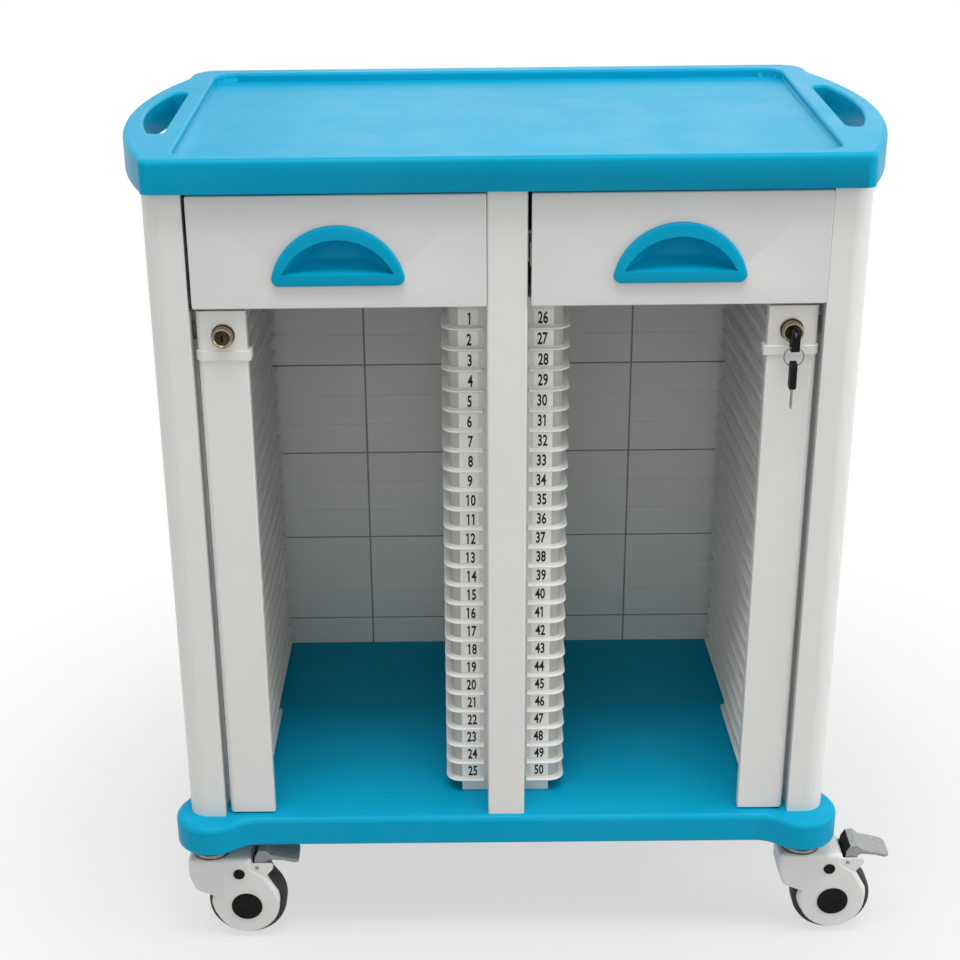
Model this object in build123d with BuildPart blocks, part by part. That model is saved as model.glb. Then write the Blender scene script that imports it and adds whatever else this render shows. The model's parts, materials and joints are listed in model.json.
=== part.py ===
from build123d import *
import math
import os

os.makedirs("parts", exist_ok=True)

# Chart trolley: two bays of slots for patient charts between a blue base and a blue top tray, with two
# drawers, two locking bars and four braked casters. Millimetres, +Z up, +Y to the back, origin on the
# floor under the middle of the whole, which one brake pedal makes wider on the right. The pieces are
# drawn about the cabinet's own middle plane, and save() moves them to their place.

# Body
body_width = 800
body_depth = 454
base_top = 186
base_thickness = 40
tray_bottom = 992
tray_top = 1030
post_width = 46
post_wall = 3
post_corner_radius = 24
centre_post_width = 45
panel_thickness = 8
side_panel_inset = 8
back_panel_thickness = 6
back_panel_face = 218
divider_thickness = 24
deck_bottom = 846
deck_thickness = 8
centre_post_radius = 2.5

# Top tray
tray_width = 794
tray_depth = 482
tray_front_radius = 12
tray_back_radius = 34
handle_reach = 440
handle_peak_y = -25
handle_front_y = -228
handle_back_y = 190
handle_bar_width = 20
handle_gap_x = 386
handle_gap_front_y = -152
handle_gap_back_y = 140
handle_gap_radius = 9
handle_blend_radius = 60
well_width = 728
well_front_y = -221
well_back_y = 214
well_radius = 28
well_depth = 11
tray_rim_radius = 6
well_rim_radius = 4
tray_pocket_width = 690
tray_pocket_depth = 350
tray_pocket_height = 20

# Base tray
base_width = 806
base_depth = 469
lobe_radius = 45
lobe_x = 373
lobe_y = 212
lobe_blend_radius = 46
base_pocket_width = 600
base_pocket_depth = 400
base_pocket_height = 32
base_top_radius = 8
base_bottom_radius = 4

# Chart rails and slots
slot_count = 25
slot_pitch = 25.45
first_ledge_z = 815.2
ledge_thickness = 2.6
ledge_reach = 8
ledge_slope = 5.1
ledge_floor_gap = 1
inner_wall_x = 67
outer_wall_x = 312
rail_front = -172
rail_back = 201
rail_skin = 3
rail_corner_radius = 12
inner_flange = 55
outer_flange = 42
inner_ledge_start = 27
outer_ledge_start = 346
rail_foot_height = 13
rail_foot_depth = 24
rail_foot_x = 55
label_width = 23
label_height = 18
label_thickness = 0.4
label_x = 43.5
label_rise = 12

# Back panel grooves
groove_width = 2.5
groove_depth = 1.2
fine_groove_width = 1.4
fine_groove_depth = 0.6
groove_x = 185
first_groove_height = 41.5
groove_pitch = 132.5
groove_rows = 6

# Drawers
drawer_face_y = -229
drawer_front_bottom = 858.5
drawer_front_top = 987
drawer_front_width = 327
drawer_front_thickness = 18
drawer_centre_x = 188.2
drawer_side_play = 1.8
drawer_box_inner_x = 40
drawer_box_outer_x = 332
drawer_box_bottom = 866
drawer_box_top = 960
drawer_box_back_y = 185
drawer_wall = 4
front_corner_radius = 2.5
front_edge_radius = 1.5
runner_setback = 2
slide_bottom = 895
slide_height = 36
slide_groove_height = 28
slide_groove_depth = 7
slide_back_y = 206
inner_slide_width = 20
outer_slide_width = 14
runner_height = 27
runner_end_gap = 0.8

# Drawer cup handles
cup_half_chord = 75.1
cup_bottom = 885
cup_top = 953.5
cup_corner_radius = 9
cup_opening_half_chord = 60
cup_opening_bottom = 899
cup_opening_top = 938
cup_proud = 5
cup_edge_radius = 3
cup_depth = 24
cup_shell = 2
cup_scoop_radius = 10

# Lock bars, which swing on an upright pivot at their outer edge
bar_inner_x = 292
bar_outer_x = 348.3
bar_front_y = -221
bar_thickness = 14
bar_bottom = 188.5
collar_bottom = 796
collar_top = 807
collar_overhang = 4.3
collar_proud = 2
head_top = 854
lug_gap = 1
lug_bottom = head_top + lug_gap
lug_height = 2.5
lug_radius = 6.5
pivot_radius = 3
pivot_clearance = 0.05
pivot_length = 15
bar_edge_radius = 1.5

# Cam locks and keys
lock_x = 318
lock_z = 826
lock_flange_radius = 14
lock_flange_thickness = 2
lock_face_radius = 11.8
lock_face_length = 12
lock_body_radius = 9.5
lock_body_back_y = -202
plug_radius = 8
keyway_depth = 8
lock_edge_radius = 1.5
cam_gap = 1
cam_length = 24
cam_width = 12
cam_thickness = 2.5
keeper_inner_x = 331
keeper_thickness = 3
keeper_height = 20
key_blade_thickness = 2
key_blade_height = 8
key_pivot_y = -246
key_eye_radius = 5
key_pin_radius = 1.2
key_head_thickness = 9
key_head_width = 16
key_head_length = 17
key_slot_width = 2.6
key_slot_gap = 1
key_corner_radius = 5
ring_hole_radius = 3.2
ring_hole_drop = 11.5
ring_radius = 11
ring_wire_radius = 0.9
ring_seat = 1
spare_head_thickness = 7
spare_head_width = 15
spare_head_length = 32
spare_hole_radius = 3
spare_hole_inset = 6
spare_blade_length = 23
spare_blade_width = 7

# Casters
caster_x = 377.5
caster_y = 207
caster_trail = 43
wheel_radius = 50
wheel_half_width = 15
wheel_crown = 9
axle_radius = 6
running_clearance = 0.05
cover_half_width = 24
cover_slot_half_width = 16.5
cover_slot_radius = 53
cover_top = 121
cover_disc_radius = 45
cover_heel = (-29, 94)
cover_throat = (-17, 64)
cover_disc_angles = (205, -60, 24)
cover_edge_radius = 6
cover_corner_radius = 5
cover_back = ((69, 96), (52, 108), (52, cover_top))
cover_nose = ((48, 97), (70, 96), (79, 107), (79.5, 111), (77, 114.5), (48, 114.5))
cover_nose_half_width = 23
swivel_ring_radius = 25
swivel_ring_bottom = 122.5
stem_radius = 5.5
stem_bottom = 95
stem_end_gap = 1
cap_radius = 19.7
cap_thickness = 1.5
dot_radius = 7.3
dot_u = 35.5
dot_z = 100
pedal_pivot_u = 59
pedal_pivot_z = 109
pedal_barrel_radius = 5
pedal_half_width = 19
pedal_end_u = 112
pedal_end_z = 116.5
pedal_root = ((63, 106), (54, 109), (56, 122), (61, 131), (70, 132))
pedal_plate_top = ((78, 125), (93, 121.5), (pedal_end_u, pedal_end_z))
pedal_plate_underside = ((pedal_end_u, 112), (93, 117), (76, 118.5), (66, 113))
pedal_pin_radius = 2.5
pedal_room_half_width = 20.5
pedal_room = (42, 28)
pedal_room_low = (53, 103)
pedal_corner_radius = 8

# Fasteners of the back panel
screw_head_radius = 4
screw_head_height = 2
screw_x = 345
screw_rows = (230, 480, 720, 960)

post_front = -body_depth / 2
post_height = tray_bottom - base_top
rail_height = deck_bottom - base_top
post_inner_x = body_width / 2 - post_width
bar_middle_y = bar_front_y + bar_thickness / 2
pivot_x = bar_outer_x - bar_thickness / 2
lock_face_y = bar_front_y - lock_flange_thickness - lock_face_length
cabinet_x = (handle_reach - caster_x - pedal_end_u) / 2


def save(builder, name):
    """Moves a piece from the cabinet's middle plane to its place over the origin, and writes it."""
    with BuildPart() as placed:
        with Locations((cabinet_x, 0, 0)):
            add(builder.part)
    placed.part.label = name
    export_step(placed.part, f"parts/{name}.step")


def box_between(low, high, mode=Mode.ADD):
    size = [b - a for a, b in zip(low, high)]
    with Locations(tuple((a + b) / 2 for a, b in zip(low, high))):
        Box(*size, mode=mode)


# Top tray with its well, its two push handles and the hollow over the drawers
with BuildPart() as top_tray:
    with BuildSketch(Plane.XY.offset(tray_bottom)) as tray_outline:
        with BuildLine():
            front_corner = (tray_width / 2, -tray_depth / 2)
            back_corner = (tray_width / 2, tray_depth / 2)
            Line((0, -tray_depth / 2), front_corner)
            Line(front_corner, (tray_width / 2, handle_front_y))
            ThreePointArc(
                (tray_width / 2, handle_front_y),
                (handle_reach, handle_peak_y),
                (tray_width / 2, handle_back_y),
            )
            Line((tray_width / 2, handle_back_y), back_corner)
            Line(back_corner, (0, tray_depth / 2))
            mirror(about=Plane.YZ)
        make_face()
        handle_ends = tray_outline.vertices().filter_by_position(Axis.Y, handle_back_y - 1, handle_back_y + 1)
        fillet(handle_ends, handle_blend_radius)
        fillet(tray_outline.vertices().group_by(Axis.Y)[0], tray_front_radius)
        fillet(tray_outline.vertices().group_by(Axis.Y)[-1], tray_back_radius)
    extrude(amount=tray_top - tray_bottom)
    with BuildSketch(Plane.XY.offset(tray_top - well_depth)):
        with Locations((0, (well_front_y + well_back_y) / 2)):
            RectangleRounded(well_width, well_back_y - well_front_y, well_radius)
    extrude(amount=well_depth, mode=Mode.SUBTRACT)
    with BuildSketch(Plane.XY.offset(tray_bottom)) as handle_gap:
        with BuildLine():
            ThreePointArc(
                (handle_gap_x, handle_gap_front_y),
                (handle_reach - handle_bar_width, handle_peak_y),
                (handle_gap_x, handle_gap_back_y),
            )
            Line((handle_gap_x, handle_gap_back_y), (handle_gap_x, handle_gap_front_y))
        make_face()
        fillet(handle_gap.vertices(), handle_gap_radius)
        mirror(about=Plane.YZ)
    extrude(amount=tray_top - tray_bottom, mode=Mode.SUBTRACT)
    with BuildSketch(Plane.XY.offset(tray_bottom)):
        RectangleRounded(tray_pocket_width, tray_pocket_depth, well_radius)
    extrude(amount=tray_pocket_height, mode=Mode.SUBTRACT)
    rim = top_tray.faces().sort_by(Axis.Z)[-1]
    fillet(rim.outer_wire().edges(), tray_rim_radius)
    rim = top_tray.faces().filter_by(Axis.Z).sort_by(Axis.Z)[-1]
    for wire in rim.inner_wires():
        fillet(wire.edges(), well_rim_radius)
save(top_tray, "top_tray")

# Base tray: a plate with a round lobe over each caster, hollow underneath
with BuildPart() as base_tray:
    with BuildSketch(Plane.XY.offset(base_top - base_thickness)) as base_outline:
        Rectangle(base_width, base_depth)
        with GridLocations(2 * lobe_x, 2 * lobe_y, 2, 2):
            Circle(lobe_radius)
        fillet(base_outline.vertices(), lobe_blend_radius)
    extrude(amount=base_thickness)
    with BuildSketch(Plane.XY.offset(base_top - base_thickness)):
        RectangleRounded(base_pocket_width, base_pocket_depth, well_radius)
    extrude(amount=base_pocket_height, mode=Mode.SUBTRACT)
    fillet(base_tray.faces().sort_by(Axis.Z)[-1].outer_wire().edges(), base_top_radius)
    fillet(base_tray.faces().sort_by(Axis.Z)[0].outer_wire().edges(), base_bottom_radius)
    with Locations(Plane.XY.offset(base_top)):
        with Locations((pivot_x, bar_middle_y), (-pivot_x, bar_middle_y)):
            Hole(pivot_radius, depth=pivot_length)
save(base_tray, "base_tray")

# Four hollow corner posts, round on their outer corner
for side_x, side_name in ((-1, "left"), (1, "right")):
    for side_y, end_name in ((-1, "front"), (1, "back")):
        with BuildPart() as corner_post:
            with BuildSketch(Plane.XY.offset(base_top)) as post_section:
                with Locations(
                    (side_x * (body_width - post_width) / 2, side_y * (body_depth - post_width) / 2)
                ):
                    Rectangle(post_width, post_width)
                beyond_corner = (side_x * body_width, side_y * body_depth, base_top)
                fillet(post_section.vertices().sort_by_distance(beyond_corner)[0], post_corner_radius)
                offset(amount=-post_wall, kind=Kind.INTERSECTION, mode=Mode.SUBTRACT)
            extrude(amount=post_height)
        save(corner_post, f"post_{end_name}_{side_name}")

# Centre post between the two bays
with BuildPart() as centre_post:
    with BuildSketch(Plane.XY.offset(base_top)):
        with Locations((0, post_front + post_width / 2)):
            RectangleRounded(centre_post_width, post_width, centre_post_radius)
        offset(amount=-post_wall, kind=Kind.INTERSECTION, mode=Mode.SUBTRACT)
    extrude(amount=post_height)
save(centre_post, "centre_post")

# Side panels between the corner posts
for side_x, side_name in ((-1, "left"), (1, "right")):
    with BuildPart() as side_panel:
        panel_middle = side_x * (body_width / 2 - side_panel_inset - panel_thickness / 2)
        with Locations((panel_middle, 0, base_top + post_height / 2)):
            Box(panel_thickness, body_depth - 2 * post_width, post_height)
    save(side_panel, f"side_panel_{side_name}")

# Back panel with moulded grooves towards the bays
with BuildPart() as back_panel:
    with Locations((0, back_panel_face + back_panel_thickness / 2, base_top + post_height / 2)):
        Box(2 * post_inner_x, back_panel_thickness, post_height)
    inside = Plane((0, back_panel_face, base_top), x_dir=(1, 0, 0), z_dir=(0, -1, 0))
    with BuildSketch(inside):
        with Locations((-groove_x, post_height / 2), (groove_x, post_height / 2)):
            Rectangle(groove_width, post_height)
        for row in range(groove_rows):
            with Locations((0, first_groove_height + row * groove_pitch)):
                Rectangle(2 * post_inner_x, groove_width)
    extrude(amount=-groove_depth, mode=Mode.SUBTRACT)
    with BuildSketch(inside):
        for row in range(groove_rows - 1):
            for third in (1, 2):
                with Locations((0, first_groove_height + (row + third / 3) * groove_pitch)):
                    Rectangle(2 * post_inner_x, fine_groove_width)
    extrude(amount=-fine_groove_depth, mode=Mode.SUBTRACT)
save(back_panel, "back_panel")

# Divider behind the centre post, which carries the inner rails and slides
with BuildPart() as centre_divider:
    box_between(
        (-divider_thickness / 2, post_front + post_width, base_top),
        (divider_thickness / 2, back_panel_face, tray_bottom),
    )
save(centre_divider, "centre_divider")

# Shelf under each drawer
with BuildPart() as drawer_decks:
    for side_x in (-1, 1):
        edges = sorted((side_x * divider_thickness / 2, side_x * post_inner_x))
        box_between(
            (edges[0], post_front + post_width, deck_bottom),
            (edges[1], rail_back, deck_bottom + deck_thickness),
        )
save(drawer_decks, "drawer_decks")


def rail_wall(wall_x, toward, flange, has_foot, name):
    """Thin moulded wall of one rail, with a flange across its front. toward is +1 or -1, into the bay."""
    middle = rail_skin / 2
    with BuildPart() as wall:
        with BuildSketch(Plane.XY.offset(base_top)):
            with BuildLine() as path:
                FilletPolyline(
                    (wall_x - toward * flange, rail_front + middle),
                    (wall_x - toward * middle, rail_front + middle),
                    (wall_x - toward * middle, rail_back),
                    radius=rail_corner_radius - middle,
                )
            trace(path.edges(), line_width=rail_skin)
        extrude(amount=rail_height)
        if has_foot:
            low_x, high_x = sorted((toward * rail_foot_x, wall_x))
            box_between(
                (low_x, rail_front, base_top),
                (high_x, rail_front + rail_foot_depth, base_top + rail_foot_height),
                mode=Mode.SUBTRACT,
            )
    save(wall, name)


def slot_ledge(wall_x, toward, start_x):
    """Top ledge of one rail: a flange round the rail's front corner that runs down towards the back."""
    slope = math.radians(ledge_slope)
    normal = (0, math.sin(slope), math.cos(slope))
    front_edge = (0, rail_front - ledge_reach)
    half_reach = ledge_reach / 2
    run = rail_back - rail_front + ledge_reach
    height = run * math.tan(slope) + 2 * ledge_thickness
    with BuildPart() as ledge:
        with BuildSketch(Plane.XY.offset(first_ledge_z + ledge_thickness - height)):
            with BuildLine() as path:
                FilletPolyline(
                    (start_x, rail_front - half_reach),
                    (wall_x + toward * half_reach, rail_front - half_reach),
                    (wall_x + toward * half_reach, rail_back),
                    radius=rail_corner_radius + half_reach,
                )
            trace(path.edges(), line_width=ledge_reach)
        extrude(amount=height)
        top = Plane((*front_edge, first_ledge_z + ledge_thickness / 2), x_dir=(1, 0, 0), z_dir=normal)
        split(bisect_by=top, keep=Keep.BOTTOM)
        underside = Plane((*front_edge, first_ledge_z - ledge_thickness / 2), x_dir=(1, 0, 0), z_dir=normal)
        split(bisect_by=underside, keep=Keep.TOP)
    return ledge.part


rail_wall(-outer_wall_x, 1, outer_flange, False, "rail_wall_left_outer")
rail_wall(-inner_wall_x, -1, inner_flange, True, "rail_wall_left_inner")
rail_wall(inner_wall_x, 1, inner_flange, True, "rail_wall_right_inner")
rail_wall(outer_wall_x, -1, outer_flange, False, "rail_wall_right_outer")

# Ledges of each bay: both rails, one pair for each slot, cut off level just above the base
slot_places = [(0, 0, -slot_pitch * slot) for slot in range(slot_count)]
for side_x, side_name in ((-1, "left"), (1, "right")):
    inner_ledge = slot_ledge(side_x * inner_wall_x, side_x, side_x * inner_ledge_start)
    outer_ledge = slot_ledge(side_x * outer_wall_x, -side_x, side_x * outer_ledge_start)
    with BuildPart() as bay_ledges:
        with Locations(*slot_places):
            add(inner_ledge)
            add(outer_ledge)
        split(bisect_by=Plane.XY.offset(base_top + ledge_floor_gap), keep=Keep.TOP)
    save(bay_ledges, f"slot_ledges_{side_name}")

# Number stickers on the fronts of the inner rails
with BuildPart() as number_labels:
    for side_x in (-1, 1):
        with Locations(*slot_places):
            with Locations((side_x * label_x, rail_front - label_thickness / 2, first_ledge_z + label_rise)):
                Box(label_width, label_thickness, label_height)
save(number_labels, "number_labels")

# Fixed drawer slides: grooved bars on the divider and on the corner posts
with BuildPart() as drawer_slides:
    for side_x in (-1, 1):
        for wall_x, width, toward in (
            (divider_thickness / 2, inner_slide_width, 1),
            (post_inner_x, outer_slide_width, -1),
        ):
            open_x = wall_x + toward * width
            groove_bottom = slide_bottom + (slide_height - slide_groove_height) / 2
            start_y = post_front + post_width + runner_setback
            ends = sorted((side_x * wall_x, side_x * open_x))
            box_between(
                (ends[0], start_y, slide_bottom),
                (ends[1], slide_back_y, slide_bottom + slide_height),
            )
            ends = sorted((side_x * (open_x - toward * slide_groove_depth), side_x * open_x))
            box_between(
                (ends[0], start_y, groove_bottom),
                (ends[1], slide_back_y, groove_bottom + slide_groove_height),
                mode=Mode.SUBTRACT,
            )
save(drawer_slides, "drawer_slides")


def cup_outline(half_chord, low, high, corner_radius=0):
    """Half-moon of a cup handle: a straight bottom under an arc, around the handle's middle."""
    with BuildSketch() as outline:
        with BuildLine():
            Line((-half_chord, low), (half_chord, low))
            ThreePointArc((half_chord, low), (0, high), (-half_chord, low))
        make_face()
        if corner_radius:
            fillet(outline.vertices(), corner_radius)
    return outline.sketch


# Drawers: box, front, cup handle and the runners that ride in the slides
for side_x, side_name in ((-1, "left"), (1, "right")):
    box_ends = sorted((side_x * drawer_box_inner_x, side_x * drawer_box_outer_x))
    box_front_y = drawer_face_y + drawer_front_thickness
    front_x = side_x * drawer_centre_x + drawer_side_play
    cup_plane = Plane((front_x, drawer_face_y, 0), x_dir=(1, 0, 0), z_dir=(0, -1, 0))
    bowl_outline = cup_outline(
        cup_opening_half_chord + 2 * cup_shell, cup_opening_bottom - cup_shell, cup_opening_top + cup_shell
    )

    with BuildPart() as drawer_box:
        box_between(
            (box_ends[0], box_front_y, drawer_box_bottom), (box_ends[1], drawer_box_back_y, drawer_box_top)
        )
        box_between(
            (box_ends[0] + drawer_wall, box_front_y, drawer_box_bottom + drawer_wall),
            (box_ends[1] - drawer_wall, drawer_box_back_y - drawer_wall, drawer_box_top),
            mode=Mode.SUBTRACT,
        )
    save(drawer_box, f"drawer_box_{side_name}")

    with BuildPart() as drawer_front:
        front_middle_z = (drawer_front_bottom + drawer_front_top) / 2
        front_plane = Plane((front_x, drawer_face_y, front_middle_z), x_dir=(1, 0, 0), z_dir=(0, -1, 0))
        with BuildSketch(front_plane):
            RectangleRounded(drawer_front_width, drawer_front_top - drawer_front_bottom, front_corner_radius)
        extrude(amount=-drawer_front_thickness)
        fillet(drawer_front.faces().sort_by(Axis.Y)[0].outer_wire().edges(), front_edge_radius)
        with BuildSketch(cup_plane):
            add(bowl_outline)
        extrude(amount=-drawer_front_thickness, mode=Mode.SUBTRACT)
    save(drawer_front, f"drawer_front_{side_name}")

    with BuildPart() as drawer_handle:
        with BuildSketch(cup_plane):
            add(cup_outline(cup_half_chord, cup_bottom, cup_top, cup_corner_radius))
        extrude(amount=cup_proud)
        fillet(drawer_handle.faces().sort_by(Axis.Y)[0].outer_wire().edges(), cup_edge_radius)
        with BuildSketch(cup_plane):
            add(bowl_outline)
        extrude(amount=-cup_depth - cup_shell)
        with BuildSketch(cup_plane.offset(cup_proud)):
            add(cup_outline(cup_opening_half_chord, cup_opening_bottom, cup_opening_top))
        extrude(amount=-cup_proud - cup_depth, mode=Mode.SUBTRACT)
        bowl_back = drawer_handle.faces().filter_by(Axis.Y).sort_by(Axis.Y)[-2]
        fillet(bowl_back.outer_wire().edges(), cup_scoop_radius)
    save(drawer_handle, f"drawer_handle_{side_name}")

    with BuildPart() as drawer_runners:
        middle_z = slide_bottom + slide_height / 2
        inner_tip = divider_thickness / 2 + inner_slide_width - slide_groove_depth + runner_end_gap
        outer_tip = post_inner_x - outer_slide_width + slide_groove_depth - runner_end_gap
        for tip, face in ((inner_tip, drawer_box_inner_x), (outer_tip, drawer_box_outer_x)):
            ends = sorted((side_x * tip, side_x * face))
            box_between(
                (ends[0], box_front_y + runner_setback, middle_z - runner_height / 2),
                (ends[1], drawer_box_back_y, middle_z + runner_height / 2),
            )
    save(drawer_runners, f"drawer_runners_{side_name}")


# Lock bars with their heads, cam locks, pivots and keepers
with BuildPart() as bar_pivots:
    for side_x in (-1, 1):
        with Locations((side_x * pivot_x, bar_middle_y, bar_bottom)):
            Cylinder(pivot_radius, 2 * (pivot_length - bar_bottom + base_top))
        with BuildSketch(Plane.XY.offset(lug_bottom)):
            with Locations((side_x * pivot_x, bar_middle_y)):
                Circle(lug_radius)
            with Locations((side_x * (pivot_x + post_inner_x) / 2, bar_middle_y)):
                Rectangle(post_inner_x - pivot_x, 2 * lug_radius)
        extrude(amount=lug_height)
        with Locations((side_x * pivot_x, bar_middle_y, lug_bottom - pivot_length / 2)):
            Cylinder(pivot_radius, pivot_length)
save(bar_pivots, "bar_pivots")

with BuildPart() as lock_keepers:
    keeper_y = lock_body_back_y - keeper_thickness
    for side_x in (-1, 1):
        ends = sorted((side_x * keeper_inner_x, side_x * post_inner_x))
        box_between(
            (ends[0], keeper_y, lock_z - keeper_height / 2),
            (ends[1], keeper_y + keeper_thickness, lock_z + keeper_height / 2),
        )
save(lock_keepers, "lock_keepers")

for side_x, side_name in ((-1, "left"), (1, "right")):
    with BuildPart() as lock_bar:
        with BuildSketch(Plane.XY.offset(bar_bottom)):
            with Locations((side_x * (bar_inner_x + pivot_x) / 2, bar_middle_y)):
                RectangleRounded(pivot_x - bar_inner_x, bar_thickness, bar_edge_radius)
            with Locations((side_x * (pivot_x - bar_edge_radius), bar_middle_y)):
                Rectangle(2 * bar_edge_radius, bar_thickness)
            with Locations((side_x * pivot_x, bar_middle_y)):
                Circle(bar_thickness / 2)
        extrude(amount=collar_bottom - bar_bottom)
        with Locations(Plane.XY.offset(bar_bottom)):
            with Locations((side_x * pivot_x, bar_middle_y)):
                Cylinder(
                    pivot_radius + pivot_clearance,
                    pivot_length + lug_gap,
                    align=(Align.CENTER, Align.CENTER, Align.MIN),
                    mode=Mode.SUBTRACT,
                )
    save(lock_bar, f"lock_bar_{side_name}")

    with BuildPart() as lock_head:
        collar_half = bar_thickness / 2 + collar_proud
        with BuildSketch(Plane.XY.offset(collar_bottom)):
            with Locations((side_x * (bar_inner_x - collar_overhang + pivot_x) / 2, bar_middle_y)):
                Rectangle(pivot_x - bar_inner_x + collar_overhang, 2 * collar_half)
            with Locations((side_x * pivot_x, bar_middle_y)):
                Circle(collar_half)
        extrude(amount=collar_top - collar_bottom)
        with BuildSketch(Plane.XY.offset(collar_top)):
            with Locations((side_x * (bar_inner_x + pivot_x) / 2, bar_middle_y)):
                Rectangle(pivot_x - bar_inner_x, bar_thickness)
            with Locations((side_x * pivot_x, bar_middle_y)):
                Circle(bar_thickness / 2)
        extrude(amount=head_top - collar_top)
        with Locations((side_x * pivot_x, bar_middle_y, lug_bottom)):
            Cylinder(
                pivot_radius + pivot_clearance,
                pivot_length + lug_gap,
                align=(Align.CENTER, Align.CENTER, Align.MAX),
                mode=Mode.SUBTRACT,
            )
        with Locations(Plane((side_x * lock_x, bar_front_y, lock_z), x_dir=(1, 0, 0), z_dir=(0, -1, 0))):
            Hole(lock_body_radius)
    save(lock_head, f"lock_head_{side_name}")

    lock_plane = Plane((side_x * lock_x, bar_front_y, lock_z), x_dir=(1, 0, 0), z_dir=(0, -1, 0))
    with BuildPart() as lock_cylinder:
        with BuildSketch(lock_plane):
            Circle(lock_flange_radius)
        extrude(amount=lock_flange_thickness)
        with BuildSketch(lock_plane.offset(lock_flange_thickness)):
            Circle(lock_face_radius)
        extrude(amount=lock_face_length)
        fillet(lock_cylinder.faces().sort_by(Axis.Y)[0].edges(), lock_edge_radius)
        with BuildSketch(lock_plane):
            Circle(lock_body_radius)
        extrude(amount=-(lock_body_back_y - bar_front_y))
        with BuildSketch(lock_plane.offset(lock_flange_thickness + lock_face_length)):
            Circle(plug_radius + running_clearance)
        extrude(amount=-(lock_body_back_y - lock_face_y), mode=Mode.SUBTRACT)
    save(lock_cylinder, f"lock_cylinder_{side_name}")

    with BuildPart() as lock_plug:
        with BuildSketch(lock_plane.offset(lock_flange_thickness + lock_face_length)):
            Circle(plug_radius)
        extrude(amount=-(lock_body_back_y + cam_gap - lock_face_y))
        with BuildSketch(lock_plane.offset(bar_front_y - lock_body_back_y - cam_gap)):
            with Locations((0, cam_length / 2)):
                Rectangle(cam_width, cam_length)
            Circle(plug_radius)
            with Locations((0, cam_length)):
                Circle(cam_width / 2)
        extrude(amount=-cam_thickness)
        with BuildSketch(lock_plane.offset(lock_flange_thickness + lock_face_length)):
            Rectangle(key_blade_thickness, key_blade_height)
        extrude(amount=-keyway_depth, mode=Mode.SUBTRACT)
    save(lock_plug, f"lock_plug_{side_name}")

# Key in the right lock: its blade ends in an eye that the folding head turns on
key_side = Plane((lock_x, key_pivot_y, lock_z), x_dir=(0, 1, 0), z_dir=(1, 0, 0))
blade_end = lock_face_y + keyway_depth - key_pivot_y
with BuildPart() as key_blade:
    with BuildSketch(key_side):
        with Locations((blade_end / 2, 0)):
            Rectangle(blade_end, key_blade_height)
        Circle(key_eye_radius)
        Circle(key_pin_radius + running_clearance, mode=Mode.SUBTRACT)
    extrude(amount=key_blade_thickness / 2, both=True)
save(key_blade, "key_blade")

with BuildPart() as key_head:
    with BuildSketch(key_side):
        Circle(key_head_width / 2)
        with Locations((0, -key_head_length / 2)):
            Rectangle(key_head_width, key_head_length)
    extrude(amount=key_head_thickness / 2, both=True)
    fillet(key_head.edges().filter_by(Axis.X).sort_by(Axis.Z)[:2], key_corner_radius)
    with BuildSketch(key_side):
        Circle(key_eye_radius + key_slot_gap)
        with Locations((key_head_width / 2, 0)):
            Rectangle(key_head_width, key_blade_height + key_slot_gap)
        with Locations((0, key_head_width / 2)):
            Rectangle(key_head_width, key_head_width)
    extrude(amount=key_slot_width / 2, both=True, mode=Mode.SUBTRACT)
    with BuildSketch(key_side):
        Circle(key_pin_radius)
    extrude(amount=key_head_thickness / 2, both=True)
    with BuildSketch(key_side):
        with Locations((0, -ring_hole_drop)):
            Circle(ring_hole_radius)
    extrude(amount=key_head_thickness / 2, both=True, mode=Mode.SUBTRACT)
save(key_head, "key_head")

ring_top = lock_z - ring_hole_drop - ring_seat
with BuildPart() as key_ring:
    with Locations(Plane((lock_x, key_pivot_y, ring_top - ring_radius), x_dir=(1, 0, 0), z_dir=(0, -1, 0))):
        Torus(ring_radius, ring_wire_radius)
save(key_ring, "key_ring")

spare_hole_z = ring_top - 2 * ring_radius - ring_seat
spare_side = Plane((lock_x, key_pivot_y, spare_hole_z), x_dir=(0, 1, 0), z_dir=(1, 0, 0))
spare_bottom = spare_hole_inset - spare_head_length
with BuildPart() as spare_key:
    with BuildSketch(spare_side):
        with Locations((0, spare_hole_inset - spare_head_length / 2)):
            RectangleRounded(spare_head_width, spare_head_length, key_corner_radius)
        Circle(spare_hole_radius, mode=Mode.SUBTRACT)
    extrude(amount=spare_head_thickness / 2, both=True)
    with BuildSketch(spare_side):
        with Locations((0, spare_bottom - spare_blade_length / 2)):
            Rectangle(spare_blade_width, spare_blade_length)
    extrude(amount=key_blade_thickness / 2, both=True)
save(spare_key, "spare_key")

# Caster stems with the swivel rings, bolted under the base's lobes
with BuildPart() as caster_stems:
    with BuildSketch(Plane.XY.offset(swivel_ring_bottom)):
        with GridLocations(2 * caster_x, 2 * caster_y, 2, 2):
            Circle(swivel_ring_radius)
    extrude(amount=base_top - base_thickness - swivel_ring_bottom)
    with BuildSketch(Plane.XY.offset(stem_bottom)):
        with GridLocations(2 * caster_x, 2 * caster_y, 2, 2):
            Circle(stem_radius)
    extrude(amount=swivel_ring_bottom - stem_bottom)
save(caster_stems, "caster_stems")


def disc_point(angle):
    """Point on the cover's disc round the hub, in the caster's own u and z."""
    turn = math.radians(angle)
    along = caster_trail + cover_disc_radius * math.cos(turn)
    return along, wheel_radius + cover_disc_radius * math.sin(turn)


disc = [disc_point(angle) for angle in cover_disc_angles]

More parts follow.
